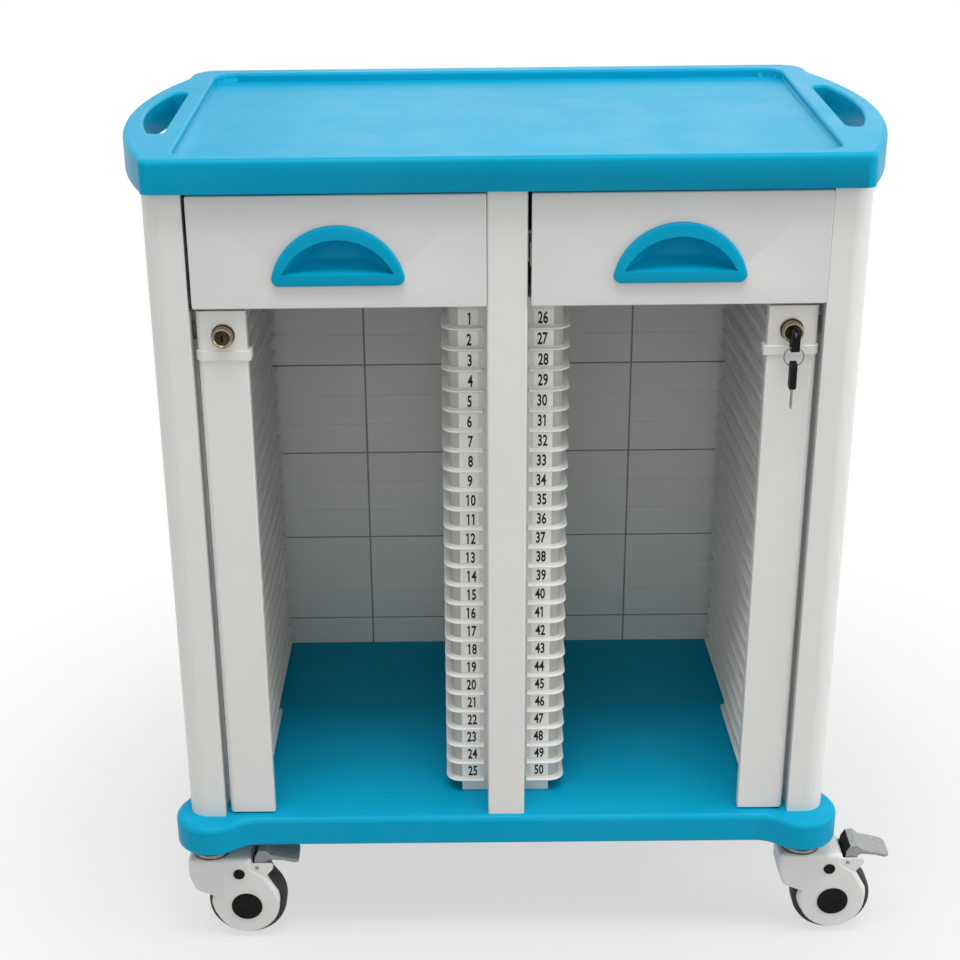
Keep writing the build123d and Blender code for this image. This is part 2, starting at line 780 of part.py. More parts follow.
# Casters: the front pair trails to the right, the back pair inwards under the base
for side_x, side_name in ((-1, "left"), (1, "right")):
    for side_y, end_name in ((-1, "front"), (1, "back")):
        trail = 1 if end_name == "front" else -side_x
        place = f"{end_name}_{side_name}"
        stem_foot = (side_x * caster_x, side_y * caster_y, 0)
        side_view = Plane(stem_foot, x_dir=(trail, 0, 0), z_dir=(0, -trail, 0))

        with BuildPart() as caster_cover:
            with BuildSketch(side_view) as cover_outline:
                with BuildLine():
                    Polyline(disc[2], *cover_back, (cover_heel[0], cover_top), cover_heel)
                    ThreePointArc(cover_heel, cover_throat, disc[0])
                    ThreePointArc(*disc)
                make_face()
                fillet(cover_outline.vertices(), cover_corner_radius)
            extrude(amount=cover_half_width, both=True)
            for cheek in caster_cover.faces().filter_by(Axis.Y):
                fillet(cheek.outer_wire().edges(), cover_edge_radius)
            with BuildSketch(side_view):
                with BuildLine():
                    Polyline(*cover_nose, close=True)
                make_face()
            extrude(amount=cover_nose_half_width, both=True)
            with BuildSketch(side_view):
                with Locations((caster_trail, wheel_radius)):
                    Circle(cover_slot_radius)
            extrude(amount=cover_slot_half_width, both=True, mode=Mode.SUBTRACT)
            with BuildSketch(side_view):
                with Locations(pedal_room_low):
                    Rectangle(*pedal_room, align=Align.MIN)
            extrude(amount=pedal_room_half_width, both=True, mode=Mode.SUBTRACT)
            with BuildSketch(side_view):
                with Locations((pedal_pivot_u, pedal_pivot_z)):
                    Circle(pedal_pin_radius + running_clearance)
                with Locations((caster_trail, wheel_radius)):
                    Circle(axle_radius)
            extrude(amount=cover_half_width, both=True, mode=Mode.SUBTRACT)
            with Locations((side_x * caster_x, side_y * caster_y, cover_top)):
                Cylinder(
                    stem_radius + running_clearance,
                    cover_top - stem_bottom + stem_end_gap,
                    align=(Align.CENTER, Align.CENTER, Align.MAX),
                    mode=Mode.SUBTRACT,
                )
        save(caster_cover, f"caster_cover_{place}")

        with BuildPart() as caster_axle:
            with BuildSketch(side_view):
                with Locations((caster_trail, wheel_radius)):
                    Circle(axle_radius)
            extrude(amount=cover_half_width, both=True)
            for reach in (cover_half_width, -cover_half_width - cap_thickness):
                with BuildSketch(side_view.offset(reach)):
                    with Locations((caster_trail, wheel_radius)):
                        Circle(cap_radius)
                    with Locations((dot_u, dot_z)):
                        Circle(dot_radius)
                extrude(amount=cap_thickness)
        save(caster_axle, f"caster_axle_{place}")

        hub_view = Plane(
            (side_x * caster_x + trail * caster_trail, side_y * caster_y, wheel_radius),
            x_dir=(1, 0, 0),
            z_dir=(0, -1, 0),
        )
        with BuildPart() as caster_wheel:
            with BuildSketch(hub_view):
                Circle(wheel_radius)
            extrude(amount=wheel_half_width, both=True)
            fillet(caster_wheel.edges(), wheel_crown)
            with BuildSketch(hub_view):
                Circle(axle_radius + running_clearance)
            extrude(amount=wheel_half_width, both=True, mode=Mode.SUBTRACT)
        save(caster_wheel, f"caster_wheel_{place}")

        with BuildPart() as brake_pedal:
            with BuildSketch(side_view):
                with Locations((pedal_pivot_u, pedal_pivot_z)):
                    Circle(pedal_barrel_radius)
                with BuildLine():
                    Polyline(*pedal_root, *pedal_plate_top, *pedal_plate_underside, close=True)
                make_face()
            extrude(amount=pedal_half_width, both=True)
            tip = brake_pedal.edges().filter_by(Axis.Z).sort_by(Axis.X)
            fillet(tip[-2:] if trail > 0 else tip[:2], pedal_corner_radius)
            with BuildSketch(side_view):
                with Locations((pedal_pivot_u, pedal_pivot_z)):
                    Circle(pedal_pin_radius)
            extrude(amount=cover_half_width, both=True)
        save(brake_pedal, f"brake_pedal_{place}")

# Screws that hold the back panel to the back posts' inner edges
with BuildPart() as back_screws:
    for side_x in (-1, 1):
        for height in screw_rows:
            screw_y = back_panel_face + back_panel_thickness + screw_head_height / 2
            with Locations(Location((side_x * screw_x, screw_y, height), (90, 0, 0))):
                Cylinder(screw_head_radius, screw_head_height)
save(back_screws, "back_screws")
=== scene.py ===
import json
import math

import bmesh
import bpy
from mathutils import Matrix, Vector


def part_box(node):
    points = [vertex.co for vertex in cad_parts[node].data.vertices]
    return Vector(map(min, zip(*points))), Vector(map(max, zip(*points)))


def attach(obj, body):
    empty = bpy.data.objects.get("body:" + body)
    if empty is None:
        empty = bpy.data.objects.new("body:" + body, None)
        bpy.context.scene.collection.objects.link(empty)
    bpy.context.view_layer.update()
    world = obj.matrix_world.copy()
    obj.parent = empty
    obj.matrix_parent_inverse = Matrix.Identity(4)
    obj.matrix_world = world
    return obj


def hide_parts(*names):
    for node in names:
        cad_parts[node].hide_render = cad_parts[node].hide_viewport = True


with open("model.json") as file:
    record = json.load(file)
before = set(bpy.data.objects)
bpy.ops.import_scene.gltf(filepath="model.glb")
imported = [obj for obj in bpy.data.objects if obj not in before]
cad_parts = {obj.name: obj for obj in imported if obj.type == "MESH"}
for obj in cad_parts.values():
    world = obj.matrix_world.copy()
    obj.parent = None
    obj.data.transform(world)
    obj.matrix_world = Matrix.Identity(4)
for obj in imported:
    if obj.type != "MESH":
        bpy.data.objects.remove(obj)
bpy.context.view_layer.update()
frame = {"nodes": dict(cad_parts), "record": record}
print("frame loaded,", len(frame["nodes"]), "nodes")

scene = bpy.context.scene
scene.view_settings.view_transform = "Standard"
sides = {"left": -1, "right": 1}
ends = {"front": -1, "back": 1}
baseLow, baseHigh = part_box("base_tray")
middle = (baseLow.x + baseHigh.x) / 2  # the cabinet's own middle plane, which pieces are drawn about


# Camera
cameraView = {
    "place": (-0.0554, -2.1196, 1.4955),
    "lens": 67.23,
    "down": math.degrees(0.421),
    "turn": math.degrees(0.0039),
    "lean": math.degrees(0.0115),
    "shift": 0.0284,
}
cameraData = bpy.data.cameras.new("camera")
cameraData.lens = cameraView["lens"]
cameraData.sensor_width = 36
cameraData.shift_x = cameraView["shift"]
camera = bpy.data.objects.new("camera", cameraData)
camera.matrix_world = (
    Matrix.Translation(Vector(cameraView["place"]) + Vector((middle, 0, 0)))
    @ Matrix.Rotation(math.radians(cameraView["turn"]), 4, "Z")
    @ Matrix.Rotation(math.radians(90 - cameraView["down"]), 4, "X")
    @ Matrix.Rotation(math.radians(-cameraView["lean"]), 4, "Z")
)
scene.collection.objects.link(camera)
scene.camera = camera


# Lights: a high panel overhead, weaker ones in front, behind and at the sides
lamps = {
    "overhead": {"place": (0, -1.2, 5.0), "aim": (0, -0.1, 0.6), "size": (3.0, 1.3), "power": 128},
    "front": {"place": (-0.5, -3.4, 1.9), "aim": (0, 0, 0.55), "size": (2.4, 2.0), "power": 10},
    "leftSide": {"place": (-3.0, -0.9, 1.7), "aim": (0, 0, 0.6), "size": (1.6, 1.8), "power": 5},
    "rightSide": {"place": (3.0, -0.7, 1.8), "aim": (0, 0, 0.6), "size": (1.6, 1.8), "power": 46},
    "rear": {"place": (0.4, 3.2, 2.2), "aim": (0, 0, 0.6), "size": (2.0, 1.6), "power": 7},
}
for lampName, lamp in lamps.items():
    lampData = bpy.data.lights.new(lampName, "AREA")
    lampData.shape = "RECTANGLE"
    lampData.size, lampData.size_y = lamp["size"]
    lampData.energy = lamp["power"]
    lampObject = bpy.data.objects.new(lampName, lampData)
    lampObject.location = lamp["place"]
    aim = Vector(lamp["aim"]) - Vector(lamp["place"])
    lampObject.rotation_euler = aim.to_track_quat("-Z", "Y").to_euler()
    scene.collection.objects.link(lampObject)


# 1 where the camera, a reflection or a view through something looks, 0 where light falls
def seenByEye(nodes, links):
    path = nodes.new("ShaderNodeLightPath")
    seen = path.outputs["Is Camera Ray"]
    for rayName in ("Is Glossy Ray", "Is Transmission Ray"):
        either = nodes.new("ShaderNodeMath")
        either.operation = "MAXIMUM"
        links.new(seen, either.inputs[0])
        links.new(path.outputs[rayName], either.inputs[1])
        seen = either.outputs[0]
    return seen


# White studio: what the eye sees is white, the fill light is softer
fillLight = {"colour": (1.0, 0.99, 0.97, 1), "strength": 0.62}
world = bpy.data.worlds.new("studio")
scene.world = world
world.use_nodes = True
nodes, links = world.node_tree.nodes, world.node_tree.links
fill = nodes["Background"]
fill.inputs["Color"].default_value = fillLight["colour"]
fill.inputs["Strength"].default_value = fillLight["strength"]
white = nodes.new("ShaderNodeBackground")
white.inputs["Color"].default_value = (1, 1, 1, 1)
mix = nodes.new("ShaderNodeMixShader")
links.new(seenByEye(nodes, links), mix.inputs[0])
links.new(fill.outputs[0], mix.inputs[1])
links.new(white.outputs[0], mix.inputs[2])
links.new(mix.outputs[0], nodes["World Output"].inputs["Surface"])

# Floor: pale and matt round the trolley, where its shadow falls, and white to the eye further out
studioFloor = {
    "size": 14, "colour": (0.5, 0.5, 0.495, 1), "roughness": 0.9, "fadeStart": 0.3, "fadeEnd": 1.1, "least": 0.6,
}
bm = bmesh.new()
bmesh.ops.create_grid(bm, x_segments=1, y_segments=1, size=studioFloor["size"])
floorMesh = bpy.data.meshes.new("floor")
bm.to_mesh(floorMesh)
bm.free()
floorObject = bpy.data.objects.new("floor", floorMesh)
scene.collection.objects.link(floorObject)
floorPaint = bpy.data.materials.new("floorPaint")
floorPaint.use_nodes = True
nodes, links = floorPaint.node_tree.nodes, floorPaint.node_tree.links
matt = nodes["Principled BSDF"]
matt.inputs["Base Color"].default_value = studioFloor["colour"]
matt.inputs["Roughness"].default_value = studioFloor["roughness"]
matt.inputs["Specular IOR Level"].default_value = 0
where = nodes.new("ShaderNodeTexCoord")
away = nodes.new("ShaderNodeVectorMath")
away.operation = "LENGTH"
links.new(where.outputs["Object"], away.inputs[0])
fade = nodes.new("ShaderNodeMapRange")
fade.interpolation_type = "SMOOTHSTEP"
fade.inputs["From Min"].default_value = studioFloor["fadeStart"]
fade.inputs["From Max"].default_value = studioFloor["fadeEnd"]
fade.inputs["To Min"].default_value = studioFloor["least"]
links.new(away.outputs["Value"], fade.inputs["Value"])
whiten = nodes.new("ShaderNodeMath")
whiten.operation = "MULTIPLY"
links.new(fade.outputs["Result"], whiten.inputs[0])
links.new(seenByEye(nodes, links), whiten.inputs[1])
glow = nodes.new("ShaderNodeEmission")
mix = nodes.new("ShaderNodeMixShader")
links.new(whiten.outputs[0], mix.inputs[0])
links.new(matt.outputs[0], mix.inputs[1])
links.new(glow.outputs[0], mix.inputs[2])
links.new(mix.outputs[0], nodes["Material Output"].inputs["Surface"])
floorMesh.materials.append(floorPaint)
print("camera, lights and floor set")


# Finishes: two tones mottled together, uneven gloss and a fine surface grain
finishes = {
    "bluePlastic": {
        "tones": ((0.0, 0.305, 0.505), (0.003, 0.325, 0.53)), "mottle": 5, "gloss": (0.3, 0.42), "shine": 0.07,
        "grain": 1500, "grainHeight": 0.00004,
    },
    # the same white plastic as drawerWhite, made lighter as painted light so the ledges in the shaded bays read
    # bright
    "whitePlastic": {
        "tones": ((0.82, 0.82, 0.795), (0.84, 0.84, 0.815)), "mottle": 7, "gloss": (0.38, 0.52), "shine": 0.3,
        "grain": 1700, "grainHeight": 0.00004,
    },
    "drawerWhite": {
        "tones": ((0.635, 0.635, 0.625), (0.66, 0.66, 0.65)), "mottle": 7, "gloss": (0.38, 0.52), "shine": 0.3,
        "grain": 1700, "grainHeight": 0.00004,
    },
    # the rail walls' white moulding, made greyer as painted shade between the ledges
    "railPlastic": {
        "tones": ((0.66, 0.665, 0.645), (0.73, 0.735, 0.71)), "mottle": 9, "gloss": (0.4, 0.55), "shine": 0.25,
        "grain": 1500, "grainHeight": 0.00005,
    },
    "whiteCoat": {
        "tones": ((0.69, 0.69, 0.67), (0.715, 0.715, 0.695)), "mottle": 4, "gloss": (0.3, 0.4), "shine": 0.3,
        "grain": 620, "grainHeight": 0.00005,
    },
    "greyMoulding": {
        "tones": ((0.7, 0.702, 0.67), (0.725, 0.727, 0.695)), "mottle": 6, "gloss": (0.45, 0.6), "shine": 0.25,
        "grain": 1300, "grainHeight": 0.00005,
    },
    "grooveShade": {
        "tones": ((0.24, 0.245, 0.24), (0.32, 0.325, 0.315)), "mottle": 25, "gloss": (0.5, 0.7), "shine": 0.15,
        "grain": 1300, "grainHeight": 0.00005,
    },
    "railRecess": {
        "tones": ((0.42, 0.42, 0.4), (0.5, 0.5, 0.475)), "mottle": 9, "gloss": (0.45, 0.6), "shine": 0.2,
        "grain": 1500, "grainHeight": 0.00005,
    },
    "stickerFilm": {
        "tones": ((0.8, 0.8, 0.77), (0.85, 0.85, 0.825)), "mottle": 60, "gloss": (0.3, 0.42), "shine": 0.3,
        "grain": 900, "grainHeight": 0.00002,
    },
    "numberInk": {
        "tones": ((0.006, 0.006, 0.007), (0.016, 0.016, 0.016)), "mottle": 300, "gloss": (0.35, 0.5), "shine": 0.2,
        "grain": 1800, "grainHeight": 0.00001,
    },
    "slideSteel": {
        "tones": ((0.5, 0.51, 0.52), (0.66, 0.67, 0.68)), "mottle": 40, "gloss": (0.28, 0.44), "metal": 1,
        "stretch": (12, 0.4, 12), "grain": 900, "grainHeight": 0.00002,
    },
    "lockNickel": {
        "tones": ((0.5, 0.48, 0.43), (0.66, 0.64, 0.58)), "mottle": 90, "gloss": (0.18, 0.32), "metal": 1,
        "grain": 2200, "grainHeight": 0.00001,
    },
    "lockBrass": {
        "tones": ((0.2, 0.155, 0.1), (0.34, 0.28, 0.19)), "mottle": 110, "gloss": (0.2, 0.34), "metal": 1,
        "grain": 2200, "grainHeight": 0.00001,
    },
    "plugBronze": {
        "tones": ((0.03, 0.022, 0.016), (0.075, 0.055, 0.038)), "mottle": 160, "gloss": (0.3, 0.46), "metal": 1,
        "grain": 2600, "grainHeight": 0.00002,
    },
    # steel for pins, keepers and the key blade, darkened as painted shade so they read like the dark gaps they sit in
    "pinSteel": {
        "tones": ((0.09, 0.09, 0.095), (0.15, 0.15, 0.155)), "mottle": 60, "gloss": (0.45, 0.6), "metal": 1,
        "grain": 1200, "grainHeight": 0.00003,
    },
    "ringSteel": {
        "tones": ((0.2, 0.2, 0.2), (0.32, 0.32, 0.315)), "mottle": 140, "gloss": (0.25, 0.4), "metal": 1,
        "grain": 2200, "grainHeight": 0.00001,
    },
    "blackPlastic": {
        "tones": ((0.005, 0.005, 0.0055), (0.011, 0.011, 0.0115)), "mottle": 50, "gloss": (0.42, 0.58), "shine": 0.08,
        "grain": 1900, "grainHeight": 0.00004,
    },
    "casterWhite": {
        "tones": ((0.68, 0.673, 0.66), (0.715, 0.708, 0.695)), "mottle": 14, "gloss": (0.26, 0.38), "shine": 0.3,
        "grain": 1500, "grainHeight": 0.00003,
    },
    "tyreRubber": {
        "tones": ((0.03, 0.029, 0.028), (0.052, 0.05, 0.048)), "mottle": 40, "gloss": (0.5, 0.72), "shine": 0.2,
        "grain": 1100, "grainHeight": 0.00008,
    },
    "pedalGrey": {
        "tones": ((0.25, 0.255, 0.26), (0.35, 0.355, 0.36)), "mottle": 260, "gloss": (0.45, 0.6), "shine": 0.2,
        "grain": 1400, "grainHeight": 0.00018,
    },
}


mottling = {"detail": 5, "roughness": 0.6, "stops": (0.32, 0.68)}
rubbing = {"finer": 3, "detail": 8, "roughness": 0.7, "stops": (0.3, 0.7)}
graining = {"detail": 2, "roughness": 0.5, "strength": 0.5}


def addNoise(nodes, links, spot, scale, settings):
    noise = nodes.new("ShaderNodeTexNoise")
    noise.inputs["Scale"].default_value = scale
    noise.inputs["Detail"].default_value = settings["detail"]
    noise.inputs["Roughness"].default_value = settings["roughness"]
    links.new(spot, noise.inputs["Vector"])
    return noise.outputs["Fac"]


def makeFinish(name, settings):
    material = bpy.data.materials.new(name)
    material.use_nodes = True
    nodes, links = material.node_tree.nodes, material.node_tree.links
    shader = nodes["Principled BSDF"]
    shader.inputs["Metallic"].default_value = settings.get("metal", 0)
    shader.inputs["Specular IOR Level"].default_value = settings.get("shine", 0.5)
    where = nodes.new("ShaderNodeTexCoord").outputs["Object"]
    stretch = nodes.new("ShaderNodeMapping")
    stretch.inputs["Scale"].default_value = settings.get("stretch", (1, 1, 1))
    links.new(where, stretch.inputs["Vector"])
    stretched = stretch.outputs["Vector"]
    tones = nodes.new("ShaderNodeValToRGB")
    for stop, place, tone in zip(tones.color_ramp.elements, mottling["stops"], settings["tones"]):
        stop.position = place
        stop.color = (*tone, 1)
    mottled = addNoise(nodes, links, stretched, settings["mottle"], mottling)
    links.new(mottled, tones.inputs["Fac"])
    links.new(tones.outputs["Color"], shader.inputs["Base Color"])
    gloss = nodes.new("ShaderNodeMapRange")
    gloss.inputs["From Min"].default_value, gloss.inputs["From Max"].default_value = rubbing["stops"]
    gloss.inputs["To Min"].default_value, gloss.inputs["To Max"].default_value = settings["gloss"]
    rubbed = addNoise(nodes, links, stretched, settings["mottle"] * rubbing["finer"], rubbing)
    links.new(rubbed, gloss.inputs["Value"])
    links.new(gloss.outputs["Result"], shader.inputs["Roughness"])
    bump = nodes.new("ShaderNodeBump")
    bump.inputs["Strength"].default_value = graining["strength"]
    bump.inputs["Distance"].default_value = settings["grainHeight"]
    grained = addNoise(nodes, links, where, settings["grain"], graining)
    links.new(grained, bump.inputs["Height"])
    links.new(bump.outputs["Normal"], shader.inputs["Normal"])
    return material


finish = {name: makeFinish(name, settings) for name, settings in finishes.items()}
print(len(finish), "finishes made")


# Which finish each CAD node wears
nodeFinish = {
    "top_tray": "bluePlastic", "base_tray": "bluePlastic", "drawer_handle": "bluePlastic",
    "post": "whiteCoat", "centre_post": "whiteCoat", "lock_bar": "whiteCoat", "lock_head": "whiteCoat",
    "side_panel": "whitePlastic", "drawer_front": "drawerWhite", "drawer_box": "whitePlastic",
    "rail_wall": "railPlastic", "slot_ledges": "whitePlastic",
    "back_panel": "greyMoulding", "centre_divider": "greyMoulding", "drawer_decks": "greyMoulding",
    "number_labels": "stickerFilm",
    "drawer_slides": "slideSteel", "drawer_runners": "slideSteel", "bar_pivots": "pinSteel",
    "lock_keepers": "pinSteel", "back_screws": "slideSteel", "caster_stems": "ringSteel",
    "lock_cylinder": "lockNickel", "lock_plug": "plugBronze",
    "key_blade": "pinSteel", "key_ring": "ringSteel",
    "key_head": "blackPlastic", "spare_key": "blackPlastic", "caster_axle": "blackPlastic",
    "caster_cover": "casterWhite", "caster_wheel": "tyreRubber", "brake_pedal": "pedalGrey",
}


def finishOf(nodeName):
    return nodeFinish[max((key for key in nodeFinish if nodeName.startswith(key)), key=len)]


for nodeName, node in frame["nodes"].items():
    node.data.materials.clear()
    node.data.materials.append(finish[finishOf(nodeName)])


def addPiece(name, bm, finishName, body, replaced=(), sharp=35, drawnAt=0):
    bmesh.ops.translate(bm, verts=bm.verts, vec=(middle - drawnAt, 0, 0))
    mesh = bpy.data.meshes.new(name)
    bm.to_mesh(mesh)
    bm.free()
    mesh.materials.append(finish[finishName])
    mesh.shade_smooth()
    mesh.set_sharp_from_angle(angle=math.radians(sharp))
    piece = bpy.data.objects.new(name, mesh)
    scene.collection.objects.link(piece)
    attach(piece, body)
    if replaced:
        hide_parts(*replaced)
    return piece


def bodyOf(nodeName):
    return next(body for body, members in frame["record"]["behaviour"]["bodies"].items() if nodeName in members)


# A node's own shape, merged, with its crisp edges softened and its flat faces shaded flat
merging = {"within": 2e-6, "flatTo": 0.3}


def dressNode(nodeName, soften=0, steps=2, sharp=32, second=None, onFaces=None, cuts=()):
    bm = bmesh.new()
    bm.from_mesh(frame["nodes"][nodeName].data)
    bmesh.ops.remove_doubles(bm, verts=bm.verts, dist=merging["within"])
    if soften:
        flatTo = math.radians(merging["flatTo"])
        bmesh.ops.dissolve_limit(bm, angle_limit=flatTo, verts=bm.verts, edges=bm.edges)
        crisp = [edge for edge in bm.edges if edge.is_manifold and edge.calc_face_angle() > math.radians(sharp)]
        bmesh.ops.bevel(
            bm, geom=crisp, offset=soften, affect="EDGES", segments=steps, profile=0.5, material=-1,
            clamp_overlap=True,
        )
    for height in cuts:
        everything = bm.verts[:] + bm.edges[:] + bm.faces[:]
        bmesh.ops.bisect_plane(bm, geom=everything, plane_co=(0, 0, height), plane_no=(0, 0, 1))
    for face in bm.faces:
        face.material_index = 1 if onFaces and onFaces(face) else 0
    words = nodeName.split("_")
    pieceName = words[0] + "".join(word.title() for word in words[1:])
    piece = addPiece(
        pieceName, bm, finishOf(nodeName), bodyOf(nodeName), [nodeName], sharp, drawnAt=middle
    )
    if second:
        piece.data.materials.append(finish[second])
    flat = piece.modifiers.new("flatFaces", "WEIGHTED_NORMAL")
    flat.keep_sharp = True
    return piece


for nodeName in (
    "top_tray", "base_tray", "post_front_left", "post_front_right", "post_back_left", "post_back_right",
    "centre_post", "drawer_front_left", "drawer_front_right", "lock_bar_left", "lock_bar_right", "bar_pivots",
    "key_ring", "key_blade", "rail_wall_left_outer", "rail_wall_right_outer",
):
    dressNode(nodeName)
softened = {
    "lock_head_left": (0.0009, 3), "lock_head_right": (0.0009, 3),
    "side_panel_left": (0.0004, 2), "side_panel_right": (0.0004, 2),
    "drawer_decks": (0.0004, 2), "lock_keepers": (0.0004, 2), "key_head": (0.0007, 2),
}
for nodeName, (soften, steps) in softened.items():
    dressNode(nodeName, soften, steps)

# Inner rails: painted shade on the rounded corner faces beside the stickers, where the ledges shade them
railShadeZone = {"from": 0.0551, "facing": -0.05}
for sideName in sides:
    dressNode(
        f"rail_wall_{sideName}_inner", second="railRecess",
        onFaces=lambda face: (
            abs(face.calc_center_median().x - middle) > railShadeZone["from"] and face.normal.y < railShadeZone["facing"]
        ),
    )

# Swivel rings: steel with two black bands of painted shade where the bearing gaps lie
bearing = {"edge": 0.0005, "cuts": (0.1245, 0.1285, 0.1305), "gaps": ((0, 0.1245), (0.1285, 0.1305))}
dressNode(
    "caster_stems", bearing["edge"], second="blackPlastic", cuts=bearing["cuts"],
    onFaces=lambda face: any(low < face.calc_center_median().z < high for low, high in bearing["gaps"]),
)

# The spare key's blade is bare steel below its black head
spareKey = {"edge": 0.0006, "blade": 0.0229}
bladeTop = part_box("spare_key")[0].z + spareKey["blade"]
dressNode(
    "spare_key", spareKey["edge"], second="ringSteel",
    onFaces=lambda face: face.calc_center_median().z < bladeTop,
)

# Painted shade in the main grooves of the back panel's front
grooves = {"from": 0.0009, "to": 0.0015, "facing": -0.9}
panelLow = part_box("back_panel")[0]
dressNode(
    "back_panel", second="grooveShade",
    onFaces=lambda face: (
        face.normal.y < grooves["facing"]
        and grooves["from"] < face.calc_center_median().y - panelLow.y < grooves["to"]
    ),
)

# Casters: white covers, black caps, turned rubber tyres, and pedals whose faces towards the cover are painted black
# as shade under the cover's edge
casterEdges = {"cover": 0.0014, "axle": 0.0005, "pedal": 0.0009}
pedalShadedSide = {"facing": -0.35}
tyre = {
    "rise": 0.05, "steps": 72,
    "profile": (
        (0.0061, -0.015), (0.0345, -0.015), (0.0352, -0.0142), (0.0405, -0.0142), (0.0412, -0.0149),
        (0.0445, -0.0148), (0.0474, -0.0139), (0.0492, -0.0118), (0.04999, -0.0085),
    ),
}
coverRim = {"keep": 0.039, "squeeze": 0.55, "from": -182, "to": 24, "blend": 25}
heelCut = {
    "from": 158, "sweep": 52, "steps": 14, "sharp": 32,
    "section": (
        (0.09, 0.03), (0.041, 0.03), (0.041, 0.0241), (0.0427, 0.0232), (0.0441, 0.0216), (0.0451, 0.0196),
        (0.0455, 0.018),
    ),
}


# Open the cover behind its heel, so that the tyre shows there
def cutHeel(cover, hub, points):
    bm = bmesh.new()
    drawn = [bm.verts.new((out, across, 0)) for out, across in heelCut["section"]]
    drawn += [bm.verts.new((out, -across, 0)) for out, across in reversed(heelCut["section"])]
    bm.faces.new(drawn)
    start = heelCut["from"] if points > 0 else 180 - heelCut["from"]
    bmesh.ops.rotate(bm, matrix=Matrix.Rotation(math.radians(-start), 3, "Y"), verts=bm.verts)
    bmesh.ops.spin(
        bm, geom=bm.verts[:] + bm.edges[:] + bm.faces[:], axis=(0, 1, 0),
        angle=math.radians(-points * heelCut["sweep"]), steps=heelCut["steps"], use_merge=False,
    )
    bmesh.ops.translate(bm, verts=bm.verts, vec=(hub.x, hub.y, tyre["rise"]))
    bmesh.ops.recalc_face_normals(bm, faces=bm.faces)
    mesh = bpy.data.meshes.new("heelCut")
    bm.to_mesh(mesh)
    bm.free()
    cutter = bpy.data.objects.new("heelCut", mesh)
    scene.collection.objects.link(cutter)
    cut = cover.modifiers.new("heelCut", "BOOLEAN")
    cut.object = cutter
    with bpy.context.temp_override(object=cover, active_object=cover):
        bpy.ops.object.modifier_apply(modifier="heelCut")
    bpy.data.objects.remove(cutter)
    bpy.data.meshes.remove(mesh)
    cover.data.set_sharp_from_angle(angle=math.radians(heelCut["sharp"]))


for endName in ends:
    for sideName in sides:
        caster = f"{endName}_{sideName}"
        pedalLow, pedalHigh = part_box(f"brake_pedal_{caster}")
        coverLow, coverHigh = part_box(f"caster_cover_{caster}")
        points = 1 if pedalLow.x + pedalHigh.x > coverLow.x + coverHigh.x else -1
        hubLow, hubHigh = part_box(f"caster_axle_{caster}")
        hub = (hubLow + hubHigh) / 2
        cover = dressNode(f"caster_cover_{caster}", casterEdges["cover"], 3)
        cutHeel(cover, hub, points)
        for vert in cover.data.vertices:
            out = Vector((points * (vert.co.x - hub.x), vert.co.z - tyre["rise"]))
            turn = math.degrees(math.atan2(out.y, out.x))
            if turn > 90:
                turn -= 360
            share = min(turn - coverRim["from"], coverRim["to"] - turn) / coverRim["blend"]
            over = out.length - coverRim["keep"]
            if over > 0 and share > 0:
                out *= 1 - min(share, 1) * coverRim["squeeze"] * over / out.length
                vert.co.x = hub.x + points * out.x
                vert.co.z = tyre["rise"] + out.y
        dressNode(f"caster_axle_{caster}", casterEdges["axle"])
        bm = bmesh.new()
        drawn = [bm.verts.new((hub.x - middle, hub.y + across, out)) for out, across in tyre["profile"]]
        drawn += [bm.verts.new((hub.x - middle, hub.y - across, out)) for out, across in reversed(tyre["profile"])]
        loop = [bm.edges.new(pair) for pair in zip(drawn, drawn[1:] + drawn[:1])]
        bmesh.ops.translate(bm, verts=drawn, vec=(0, 0, tyre["rise"]))
        bmesh.ops.spin(
            bm, geom=drawn + loop, cent=(hub.x - middle, hub.y, tyre["rise"]), axis=(0, 1, 0),
            angle=math.radians(360), steps=tyre["steps"], use_merge=True,
        )
        bmesh.ops.recalc_face_normals(bm, faces=bm.faces)
        addPiece(
            f"casterTyre{endName.title()}{sideName.title()}", bm, "tyreRubber", f"wheel_{caster}",
            [f"caster_wheel_{caster}"],
        )
        # Pedal faces turned towards the cover are black as painted shade
        dressNode(
            f"brake_pedal_{caster}", casterEdges["pedal"], second="blackPlastic",
            onFaces=lambda face: face.normal.x * points < pedalShadedSide["facing"],
        )
print("solid pieces dressed")


# Drawer cups: a half-moon rim, proud of the drawer front, round a scooped bowl
cup = {
    "outline": {"chord": 0.0751, "low": 0.885, "high": 0.9535},
    "opening": {"chord": 0.062, "low": 0.8985, "high": 0.938},
    "corner": 0.009, "cornerTurns": (-75, -60, -45, -30, -15, 0), "front": -0.234, "face": -0.229,
    "edge": 0.003, "wall": 0.0014, "heart": 0.922, "steps": 96, "weld": 0.0006,
    "bowl": (
        (0.0015, 0.997), (0.006, 0.965), (0.0105, 0.905), (0.015, 0.82), (0.0193, 0.705),
        (0.0232, 0.56), (0.0262, 0.38), (0.0278, 0.18),
    ),
}


def halfMoon(bm, x, shape):
    tall = shape["high"] - shape["low"]
    radius = (shape["chord"] ** 2 + tall ** 2) / (2 * tall)
    place = Matrix.Translation((x, cup["front"], shape["high"] - radius))
    upright = place @ Matrix.Rotation(math.radians(90), 4, "X")
    drawn = bmesh.ops.create_circle(bm, cap_ends=True, radius=radius, segments=cup["steps"], matrix=upright)["verts"]
    face = drawn[0].link_faces[0]
    trimFace(bm, face, (x, 0, shape["low"]), (0, 0, -1))
    return radius


def trimFace(bm, face, spot, outward):
    bmesh.ops.bisect_plane(
        bm, geom=[face] + face.edges[:] + face.verts[:], plane_co=spot, plane_no=outward, clear_outer=True
    )


